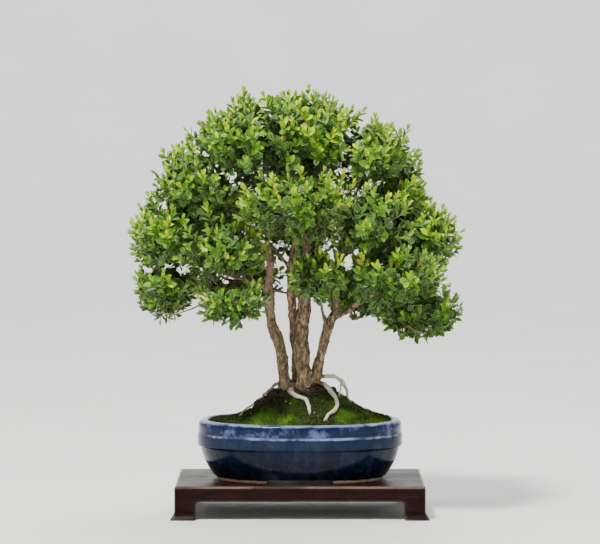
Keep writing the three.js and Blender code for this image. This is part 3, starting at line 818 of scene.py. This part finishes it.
def tuft_mesh(draw):
    """A few short pointed moss stems that lean apart."""
    bm = bmesh.new()
    bm.verts.layers.float.new("light")
    for i in range(TUFT_BLADES):
        lean = Matrix.Rotation(i * GOLDEN_ANGLE, 4, "Z") @ Matrix.Rotation(draw.uniform(*TUFT_LEAN), 4, "Y")
        bmesh.ops.create_cone(bm, cap_ends=True, segments=3, radius1=TUFT_RADIUS * MM, radius2=0,
                              depth=TUFT_LENGTH * MM, matrix=lean @ Matrix.Translation(UP * TUFT_MIDDLE * MM))
    return mesh_of(bm, smooth=False)


def build_tufts(material):
    draw = random.Random(TUFT_SEED)
    kinds = [tuft_mesh(draw) for _ in range(4)]
    placed = []
    for i, (place, bright) in enumerate(scattered_places(draw, TUFT_COUNT, TUFT_SIZES)):
        placed.append((kinds[i % len(kinds)], place, [clamped(bright + draw.uniform(*TUFT_BRIGHTER))]))
    put("moss_tufts", copies_mesh(placed, ["light"], smooth=False), material, "moss")


def crumb_mesh(draw):
    bm = bmesh.new()
    bmesh.ops.create_icosphere(bm, subdivisions=1, radius=1.0 * MM)
    for vert in bm.verts:
        vert.co += Vector([draw.uniform(-GRIT_ROUGHNESS, GRIT_ROUGHNESS) for _ in range(3)]) * MM
    return mesh_of(bm, smooth=False)


def build_grit(material):
    draw = random.Random(GRIT_SEED)
    kinds = [crumb_mesh(draw) for _ in range(LUMP_KINDS)]
    places = scattered_places(draw, GRIT_COUNT, GRIT_SIZES)
    placed = [(kinds[i % len(kinds)], place, []) for i, (place, _) in enumerate(places)]
    put("grit_crumbs", copies_mesh(placed, [], smooth=False), material, "soil")


CLOD_SEED = 31
CLOD_COUNT = 170
CLOD_REACH = 40
CLOD_SIZES = (3, 6.5)
# The most that a clod is turned and tilted, in radians
CLOD_TURN = 6.3
CLOD_TILT = 0.6
CLOD_FLATNESS = 0.75
LEFT_CLODS = 34
LEFT_CLOD_SIZES = (4, 7)


def clod_mesh(draw):
    """A rough lump of soil, one unit in radius."""
    bm = bmesh.new()
    bmesh.ops.create_icosphere(bm, subdivisions=2, radius=1)
    start = Vector([draw.uniform(0, 50) for _ in range(3)])
    for vert in bm.verts:
        vert.co *= 1 + 0.5 * noise.noise(vert.co * 1.3 + start) + 0.25 * noise.noise(vert.co * 3 + start)
    return mesh_of(bm)


def hump_clods(draw):
    """Clods round the trunks, smaller towards the edge of the hump."""
    for i in range(CLOD_COUNT):
        out = CLOD_REACH * math.sqrt(draw.random())
        turn = i * GOLDEN_ANGLE
        x, y = 3 + 1.15 * out * math.cos(turn), 1 + 0.85 * out * math.sin(turn)
        size = draw.uniform(*CLOD_SIZES) * (1.15 - 0.5 * out / CLOD_REACH)
        turned = Matrix.Diagonal((1, 1, CLOD_FLATNESS, 1)) @ tumbled(draw, CLOD_TURN, CLOD_TILT)
        yield Matrix.Translation(moss_point(x, y, 0.25 * size)) @ turned @ Matrix.Scale(size * MM, 4)


def left_clods(draw):
    """A spill of clods down the mound's left side, where the long root leaves it."""
    for _ in range(LEFT_CLODS):
        share = draw.random()
        x, y = -33 - 22 * share + draw.uniform(-4, 4), -8 - 6 * share + draw.uniform(-5, 5)
        turned = tumbled(draw, CLOD_TURN, CLOD_TILT)
        size = draw.uniform(*LEFT_CLOD_SIZES)
        yield Matrix.Translation(moss_point(x, y, 3 - 2 * share)) @ turned @ Matrix.Scale(size * MM, 4)


def build_root_soil(material):
    """The rough hump of bare soil that the trunks stand in."""
    draw = random.Random(CLOD_SEED)
    kinds = [clod_mesh(draw) for _ in range(LUMP_KINDS)]
    placed = []
    for places in (hump_clods(draw), left_clods(draw)):
        placed += [(kinds[i % len(kinds)], place, []) for i, place in enumerate(places)]
    put("root_soil", copies_mesh(placed, [], smooth=True), material, "soil")


# Wood, in millimetres from the pot's middle and over the floor

VOXEL = 1.4 * MM
# Pale scars: the middle and the reach of each
SCARS = [(5, -22, 258, 5), (44, -14, 264, 5), (-24, -12, 316, 5), (-42, -16, 330, 6)]
ROOT_TOP = 176
ROOT_SWELL = 0.2
ARCH_RISE = 24


def mark_wood(vert, spot, layers):
    """Marks how far a place on the wood is bare root, soiled, scarred and freshly barked."""
    over = spot.z - POT_LOW.z / MM - moss_height(spot.x, spot.y)
    crown = falling(1.3 * math.hypot(spot.x - 2, spot.y - 2), 41, 10)
    arched = ARCH_RISE * rising(spot.x, 30, 6)
    low = falling(spot.z, ROOT_TOP + arched, 14)
    front = 0.35 + 0.65 * rising(spot.x, -18, 8)
    vert[layers["root"]] = low * (1 - crown) * front * rising(over, 0, 2)
    vert[layers["dirt"]] = falling(over, 17, 11) * (1 if over < 0 else crown) * low
    vert[layers["fresh"]] = clamped(1 - abs(spot.z - 330) / 34) * falling(spot.x, -24, 8)
    nearest = min((spot - Vector(middle)).length / reach for *middle, reach in SCARS)
    vert[layers["scar"]] = clamped(1.6 - 1.6 * nearest)


def bark_height(spot, root):
    """How far the bark stands out: in long furrows, fine plates and lumps, and less on the roots."""
    ridges = abs(noise.noise(Vector((spot.x * 0.32, spot.y * 0.32, spot.z * 0.1)))) * 2.4 - 0.6
    fine = noise.noise(Vector((spot.x * 0.6, spot.y * 0.6, spot.z * 0.32)))
    lumps = noise.noise(spot * 0.06)
    return (1 - 0.75 * root) * (1.0 * ridges + 0.9 * fine + 1.8 * lumps) + ROOT_SWELL * root


def build_wood(material):
    bm = bmesh_from(with_modifiers(mesh_of(merged_copy("trunks_and_roots")), [
        ("REMESH", {"mode": "VOXEL", "voxel_size": VOXEL, "adaptivity": 0, "use_smooth_shade": True}),
        ("SMOOTH", {"factor": 0.5, "iterations": 6}),
    ]))
    bm.normal_update()
    layers = {name: bm.verts.layers.float.new(name) for name in ("root", "dirt", "scar", "fresh")}
    shifts = []
    for vert in bm.verts:
        spot = (vert.co - MIDDLE) / MM
        mark_wood(vert, spot, layers)
        shifts.append(vert.normal * bark_height(spot, vert[layers["root"]]) * MM)
    for vert, shift in zip(bm.verts, shifts):
        vert.co += shift
    put("trunks_barked", mesh_of(bm), material, "bark", "trunks_and_roots")


# Foliage, in millimetres from the pot's middle and over the floor

FINE_ROWS = [0, 0.17, 0.52, 0.84, 1]
PLAIN_ROWS = [0, 0.3, 0.78, 1]
# Each kind of leaf from a shoot's tip down: width, fold, droop, sharpness, where it is widest, and its rows
LEAF_KINDS = [
    (0.4, 0.6, -0.12, 0.95, 1.15, FINE_ROWS), (0.5, 0.4, 0.04, 0.8, 1.2, FINE_ROWS),
    (0.6, 0.24, 0.14, 0.62, 1.3, FINE_ROWS), (0.7, -0.14, 0.2, 0.56, 1.35, FINE_ROWS),
    (0.7, -0.14, 0.2, 0.56, 1.35, PLAIN_ROWS),
]
WIDEST_KIND = 3
SHADED_KIND = 4
# Half the thickness of a blade one unit long
BLADE_HALF = 0.012
# Each pair of leaves from a shoot's tip down: its length, lean from the stem, age and kind
PAIRS = [
    (8, 0.22, 0.0, 0), (10.5, 0.42, 0.08, 0), (12, 0.66, 0.2, 1), (13, 0.88, 0.4, 1), (13.5, 1.04, 0.6, 2),
    (13.5, 1.16, 0.76, 2), (13, 1.26, 0.88, 3), (13, 1.34, 0.95, 3),
]
PAIR_STEP = 5.4
FIRST_STEP = 0.6
# Leaves fall from the pairs past this one, and this share of them has fallen
FULL_PAIRS = 2
FALLEN = 0.1
# Shares of leaves that are a kind wider or narrower than their pair
WIDER = 0.3
NARROWER = 0.15
# The least and the most that a shoot's size, a pair's step and its turn vary by
SHOOT_SIZES = (0.82, 1.14)
PAIR_STEPS = (0.85, 1.15)
PAIR_TURNS = (-0.15, 0.15)
# The same for a leaf's turn, lean, size, roll and age
LEAF_RANGES = [(-0.2, 0.2), (-0.16, 0.2), (0.92, 1.16), (-0.35, 0.35), (-0.06, 0.08)]
# Shoots over the surface of a spray: one for each square of this side, before some are dropped
SHOOT_SPACING = 18.2
EXTRA_SHOOTS = 1.15
SHOOT_STEPS = 5
SHOOT_BEND = 0.55
BARE_STALK = 0.2
INSETS = (0, 0, 0.04, 0.08, 0.16, 0.26)
TIP_REACHES = (0.9, 0.97)
UPTURNS = (0.7, 1.6)
STRAGGLERS = 0.15
STRAGGLER_REACHES = (3, 8)
# Forks that a spray's shoots start from
LEAST_HUBS = 6
HUB_AREA = 7000
HUB_SHARE = 0.4
HUB_SAG = 0.15
# Radius at the foot of each stem, and what it loses at each point
BOUGH = (1.5, 0.16)
SHOOT = (0.8, 0.09)
# Leaves are given more age low on the tree, under a spray and inside it, which makes them darker: painted
# shade
LOW_LEAVES = 0.29
HIGH_LEAVES = 0.44
TIP_AGES = (-0.08, -0.04, 0, 0.06, 0.2)
LOW_PAINTED_SHADE = (0.04, 0.1, 0.45)
INNER_SPACING = 24
INNER_LEAVES = 6
INNER_REACHES = (0.35, 0.75)
# The least and the most turn, lean, length and roll of a shaded leaf, and its age, kept high as painted shade
# so that it comes out dark
SHADED_LEAF = [(0, 6.3), (0.7, 1.4), (13, 17), (-0.5, 0.5)]
SHADED_AGES = (0.78, 1)
CLEFT_FILL = 1.5
FURTHEST_FILL = 1.6
CLUMP_SIZE = 26
CLUMP_SWELL = 0.13
LEAF_REACH = 0.94
SPRAY_SEED = 100
# The middle of each spray and its outer size each way
SPRAYS = {
    "crown_left": ((-80, -24, 500), (66, 84, 62)),
    "crown_top": ((8, -28, 512), (78, 86, 64)),
    "crown_back": ((-16, 88, 492), (94, 60, 62)),
    "crown_right": ((96, -14, 484), (60, 82, 52)),
    "upper_left": ((-140, -10, 450), (56, 82, 56)),
    "upper_right": ((132, 4, 436), (40, 72, 46)),
    "left": ((-178, -12, 376), (54, 78, 50)),
    "low_left": ((-182, -14, 306), (46, 66, 42)),
    "hanging_left": ((-90, -98, 292), (50, 42, 32)),
    "inner_left": ((-102, -70, 358), (62, 58, 44)),
    "front": ((-2, -120, 424), (88, 58, 46)),
    "front_right": ((92, -90, 398), (58, 56, 42)),
    "low_front": ((26, -104, 326), (50, 40, 32)),
    "low_right": ((122, -84, 326), (78, 60, 42)),
    "drooping_right": ((162, -30, 276), (60, 54, 38)),
    "right": ((172, -4, 374), (48, 68, 44)),
    "back_left": ((-118, 100, 406), (78, 66, 70)),
    "back": ((0, 134, 398), (82, 50, 76)),
    "back_right": ((116, 100, 390), (76, 66, 70)),
    "back_low_left": ((-86, 102, 312), (64, 56, 42)),
    "back_low_right": ((90, 106, 298), (66, 54, 42)),
}
# Places kept clear of leaves, seen from the front: middle and half sizes in x and z, and how far back it goes
CLEARINGS = [
    ((-88, 452), (18, 18), 0),
    ((-102, 318), (36, 15), 200),
    ((129, 400), (15, 20), 200),
    ((-32, 330), (20, 26), 60),
]


def leaf_mesh(width, fold, droop, sharpness, widest, rows):
    """A closed blade one unit long, from its stalk at the origin to its tip along X, upper side up."""
    bm = bmesh.new()
    for name in ("age", "tone"):
        bm.verts.layers.float.new(name)
    uv = bm.loops.layers.uv.new("blade")
    steps = len(rows) - 1
    bmesh.ops.create_grid(bm, x_segments=steps, y_segments=2, size=1)
    for vert in bm.verts:
        vert.co.x = rows[round((vert.co.x + 1) / 2 * steps)]
    for face in bm.faces:
        for corner in face.loops:
            corner[uv].uv = (corner.vert.co.y, corner.vert.co.x)
    copied = bmesh.ops.duplicate(bm, geom=bm.faces[:])
    under = [part for part in copied["geom"] if isinstance(part, bmesh.types.BMFace)]
    bmesh.ops.reverse_faces(bm, faces=under)
    for face in under:
        for corner in face.loops:
            corner[uv].uv.x += UNDERSIDE_SHIFT
    under_verts = {vert for face in under for vert in face.verts}
    for vert in bm.verts:
        across, share = vert.co.y, vert.co.x
        half = width / 2 * math.sin(math.pi * share ** widest) ** sharpness
        on_rib = abs(across) < 0.5 and 0.01 < share < 0.99
        lift = (-BLADE_HALF if vert in under_verts else BLADE_HALF) if on_rib else 0
        vert.co = (share, across * half, fold * abs(across) * half - droop * share ** 2 + lift)
    merge(bm, 0.01 * MM)
    for edge in bm.edges:
        edge.smooth = edge.calc_face_angle() < math.pi / 2
    return mesh_of(bm)


def in_clearing(point):
    x, y, z = (point - MIDDLE) / MM
    return any(((x - cx) / half_x) ** 2 + ((z - cz) / half_z) ** 2 < 1 and y < back
               for (cx, cz), (half_x, half_z), back in CLEARINGS)


class Spray:
    """One pad of leaves, and where the wood reaches into it."""

    def __init__(self, name, wood):
        centre, size = SPRAYS[name]
        self.name = name
        self.centre = MIDDLE + Vector(centre) * MM
        self.size = Vector(size) * MM * LEAF_REACH
        self.start = wood.find(self.centre)[0]

    def depth(self, point):
        """0 in the middle of the spray and 1 at its outer surface."""
        return math.sqrt(sum((away / size) ** 2 for away, size in zip(point - self.centre, self.size)))

    def along(self, direction, share):
        return self.centre + direction * self.size * share

    def outward(self, point):
        return Vector([away / size ** 2 for away, size in zip(point - self.centre, self.size)]).normalized()

    def area(self):
        x, y, z = self.size / MM
        return 4 * math.pi * (x * y + y * z + z * x) / 3


def fill_of(sprays, point):
    """Over 1 inside the crown. Where sprays stand close together, they fill the cleft between them."""
    return sum(math.exp(CLEFT_FILL * (1 - spray.depth(point) ** 2)) for spray in sprays)


def crown_surface(spray, sprays, direction):
    """How far out the crown's surface is along a direction from the spray, or None inside another spray."""
    reach = 0.8
    while fill_of(sprays, spray.along(direction, reach)) > 1:
        reach += 0.05
        if reach > FURTHEST_FILL:
            return None
    point = spray.along(direction, reach)
    nearest = min(other.depth(point) for other in sprays)
    clump = noise.noise(point / MM / CLUMP_SIZE)
    return reach * (1 + CLUMP_SWELL * clump) if nearest > reach - 0.06 else None


def even_direction(i, count, start):
    """One of many directions that are spread evenly over a ball."""
    up = 1 - (2 * i + 1) / count
    out = math.sqrt(1 - up * up)
    turn = i * GOLDEN_ANGLE + start
    return Vector((out * math.cos(turn), out * math.sin(turn), up))


def stem(start, middle, end, steps, radius, taper):
    """Points and radii of a curve from its start to its end, drawn towards its middle point."""
    shares = [i / steps for i in range(steps + 1)]
    line = [start * (1 - t) ** 2 + middle * (2 * t * (1 - t)) + end * t ** 2 for t in shares]
    return [(point, (radius - taper * i) * MM) for i, point in enumerate(line)]


def leaf_place(joint, axis, turn, lean, length, roll):
    """The matrix of a leaf that leans from the stem at its joint, its upper side towards the stem's tip."""
    side = axis.orthogonal().normalized()
    side.rotate(Matrix.Rotation(turn, 3, axis))
    along = axis * math.cos(lean) + side * math.sin(lean)
    normal = axis * math.sin(lean) - side * math.cos(lean)
    normal.rotate(Matrix.Rotation(roll, 3, along))
    across = normal.cross(along)
    turned = Matrix((along, across, normal)).transposed().to_4x4()
    return Matrix.Translation(joint) @ turned @ Matrix.Scale(length, 4)


def grow_shoot(hub, tip, heading, age_and_shade, draw, stems, leaves):
    """A curved stem from a fork to its tip, with opposite leaves, each pair across the one before it."""
    length = (tip - hub).length
    stems.append(stem(hub, tip - heading * SHOOT_BEND * length, tip, SHOOT_STEPS, *SHOOT))
    line = [point for point, _ in stems[-1]]
    turn = draw.uniform(0, math.pi)
    size = draw.uniform(*SHOOT_SIZES)
    back = 0
    for pair, (leaf_length, lean, age, kind) in enumerate(PAIRS):
        if back > (1 - BARE_STALK) * length:
            break
        place = (1 - back / length) * SHOOT_STEPS
        i = min(int(place), SHOOT_STEPS - 1)
        joint = line[i].lerp(line[i + 1], place - i)
        axis = (line[i + 1] - line[i]).normalized()
        for side in (0, math.pi):
            if pair > FULL_PAIRS and draw.random() < FALLEN:
                continue
            own_turn, own_lean, own_size, roll, own_age = (draw.uniform(*span) for span in LEAF_RANGES)
            place = leaf_place(joint, axis, turn + side + own_turn, lean + own_lean,
                               leaf_length * size * own_size * MM, roll)
            aged_and_shaded = clamped(age + age_and_shade + own_age)
            shape = min(WIDEST_KIND, max(0, kind + (draw.random() < WIDER) - (draw.random() < NARROWER)))
            leaves.append((shape, place, aged_and_shaded, draw.random()))
        turn += math.pi / 2 + draw.uniform(*PAIR_TURNS)
        back += PAIR_STEP * MM * draw.uniform(*PAIR_STEPS) * (FIRST_STEP if pair == 0 else 1)


def grow_outer_shoots(spray, sprays, hubs, draw, stems, leaves):
    """Shoots that end over the surface of the crown, apart from its clearings."""
    count = round(EXTRA_SHOOTS * spray.area() / SHOOT_SPACING ** 2)
    start = draw.uniform(0, 6)
    for i in range(count):
        direction = even_direction(i, count, start)
        direction = (direction + Vector([draw.uniform(-0.1, 0.1) for _ in range(3)])).normalized()
        surface = crown_surface(spray, sprays, direction)
        if surface is None:
            continue
        inset = draw.choice(INSETS)
        tip = spray.along(direction, (surface - inset) * draw.uniform(*TIP_REACHES))
        outward = spray.outward(tip)
        if outward.z > -0.1 and draw.random() < STRAGGLERS:
            tip += (outward + UP) * draw.uniform(*STRAGGLER_REACHES) * MM
        if in_clearing(tip):
            continue
        heading = (outward + UP * draw.uniform(*UPTURNS)).normalized()
        hub = min(hubs, key=lambda place: (place - tip).length)
        # Painted shade: shoots facing down, set in from the crown's surface and low on the tree get more age,
        # so darker leaves.
        age_and_shade = max(0, 0.25 - outward.z) * 0.36 + inset * 1.5 + draw.choice(TIP_AGES)
        age_and_shade += falling(tip.z, HIGH_LEAVES, HIGH_LEAVES - LOW_LEAVES) * draw.choice(LOW_PAINTED_SHADE)
        grow_shoot(hub, tip, heading, age_and_shade, draw, stems, leaves)


def grow_inner_leaves(spray, hubs, draw, stems, leaves):
    """Short shaded shoots between the middle of the spray and its outer shoots; their leaves are given a high
    age as painted shade, so they come out dark.
    """
    for _ in range(round(spray.area() / INNER_SPACING ** 2)):
        direction = Vector([draw.gauss(0, 1) for _ in range(3)]).normalized()
        tip = spray.along(direction, draw.uniform(*INNER_REACHES))
        if in_clearing(tip):
            continue
        hub = min(hubs, key=lambda place: (place - tip).length)
        stems.append([(hub, 0.7 * MM), (tip, 0.4 * MM)])
        axis = (direction + UP * 0.3).normalized()
        for _ in range(INNER_LEAVES):
            joint = hub.lerp(tip, draw.uniform(0.6, 1))
            turn, lean, length, roll = (draw.uniform(*span) for span in SHADED_LEAF)
            place = leaf_place(joint, axis, turn, lean, length * MM, roll)
            # Painted shade: a high age makes these inner leaves dark.
            leaves.append((SHADED_KIND, place, draw.uniform(*SHADED_AGES), draw.random() * 0.98))


def grow_spray(spray, sprays, draw):
    """The stems and leaves of one spray."""
    stems, leaves, hubs = [], [], []
    hub_count = LEAST_HUBS + round(spray.area() / HUB_AREA)
    for i in range(hub_count):
        hub = spray.along(even_direction(i, hub_count, draw.uniform(0, 6)), HUB_SHARE)
        sag = UP * HUB_SAG * (hub - spray.start).length
        stems.append(stem(spray.start, (spray.start + hub) / 2 - sag, hub, 4, *BOUGH))
        hubs.append(hub)
    grow_outer_shoots(spray, sprays, hubs, draw, stems, leaves)
    grow_inner_leaves(spray, hubs, draw, stems, leaves)
    return stems, leaves


# Leafless twigs that leave the wood: points with the radius at each
BARE_TWIGS = [
    [((-120, -40, 290), 1.3), ((-146, -58, 279), 1.1), ((-168, -66, 272), 0.9), ((-194, -70, 275), 0.6)],
    [((-112, -50, 300), 1.1), ((-128, -72, 304), 0.9), ((-150, -82, 298), 0.6)],
    [((40, -40, 372), 1.5), ((56, -84, 379), 1.2), ((74, -104, 380), 1.0), ((89, -112, 382), 0.6)],
    [((120, -40, 268), 1.6), ((139, -62, 261), 1.3), ((156, -70, 250), 1.0), ((170, -72, 247), 0.6)],
    [((-60, -20, 420), 1.5), ((-78, -36, 452), 1.2), ((-90, -44, 474), 0.8)],
    [((35, -13, 252), 2.6), ((30, -14, 276), 2.1), ((28, -14, 293), 1.9), ((21, -15, 301), 1.3),
     ((12, -17, 314), 0.8)],
]
# A side twig, which leaves the last of them
TWIG_FORK = [((28, -14, 291), 1.7), ((36, -15, 300), 1.2), ((43, -17, 315), 0.8)]
TWIG_SWELL = 1.2
TWIG_KNOBS = 0.35


def wood_places():
    """Finds the nearest place on the trunks, branches and roots."""
    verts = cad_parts["trunks_and_roots"].data.vertices
    wood = KDTree(len(verts))
    for i, vert in enumerate(verts):
        wood.insert(vert.co, i)
    wood.balance()
    return wood


def build_bare_twigs(material, wood):
    lines = []
    for twig in BARE_TWIGS + [TWIG_FORK]:
        line = [(MIDDLE + Vector(place) * MM, radius * MM) for place, radius in twig]
        if twig is not TWIG_FORK:
            start, radius = line[0]
            line.insert(0, (wood.find(start)[0], TWIG_SWELL * radius))
        lines.append(line)
    bm = tubes(lines, 2)
    age = bm.verts.layers.float.new("age")
    for vert in bm.verts:
        vert[age] = 1
        vert.co += vert.normal * TWIG_KNOBS * MM * noise.noise(vert.co * 260)
    put("bare_twigs", mesh_of(bm), material, "bark")


def build_foliage(leaf, twig, wood):
    """Each spray is a piece of leaves and a piece of stems."""
    kinds = [leaf_mesh(*kind) for kind in LEAF_KINDS]
    sprays = [Spray(name, wood) for name in SPRAYS]
    for number, spray in enumerate(sprays):
        stems, leaves = grow_spray(spray, sprays, random.Random(SPRAY_SEED + number))
        placed = [(kinds[kind], place, (age, tone)) for kind, place, age, tone in leaves]
        blades = copies_mesh(placed, ["age", "tone"], smooth=True)
        put("leaves_" + spray.name, blades, leaf, "leaf", "foliage_" + spray.name)
        bm = tubes(stems, 0)
        age_layer = bm.verts.layers.float.new("age")
        for vert in bm.verts:
            vert[age_layer] = clamped(1.35 - spray.depth(vert.co))
        put("stems_" + spray.name, mesh_of(bm), twig, "bark")


# The whole display

def build_floor(material):
    """A pale floor that turns up into a round wall, far from the display."""
    bm = spun([(0, 0), (ROOM_RADIUS, 0), (ROOM_RADIUS, ROOM_HEIGHT)], ROOM_STEPS)
    fold = [e for e in bm.edges if all(v.co.z < MM and v.co.xy.length > ROOM_RADIUS - MM for v in e.verts)]
    bmesh.ops.bevel(bm, geom=fold, offset=ROOM_CURVE, affect="EDGES", segments=16, profile=0.5, material=-1)
    bm.normal_update()
    if min(bm.faces, key=lambda face: face.calc_center_median().length).normal.z < 0:
        bmesh.ops.reverse_faces(bm, faces=bm.faces[:])
    floor = add_object("floor", mesh_of(bm))
    dress(floor.data, material)


set_camera()
light_studio()
build_floor(floor_material())
build_stand(lacquer_material())
build_pot(glaze_material())
MOSS_FINISH = moss_material()
build_moss(MOSS_FINISH)
build_tufts(MOSS_FINISH)
build_grit(grit_material())
SOIL_FINISH = soil_material()
build_root_soil(SOIL_FINISH)
build_wood(bark_material())
TWIG_FINISH = twig_material()
WOOD = wood_places()
build_bare_twigs(TWIG_FINISH, WOOD)
build_foliage(leaf_material(), TWIG_FINISH, WOOD)
dress(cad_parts["soil"].data, SOIL_FINISH)
for screen in ("drain_screen_left", "drain_screen_right"):
    dress(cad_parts[screen].data, plastic_material())
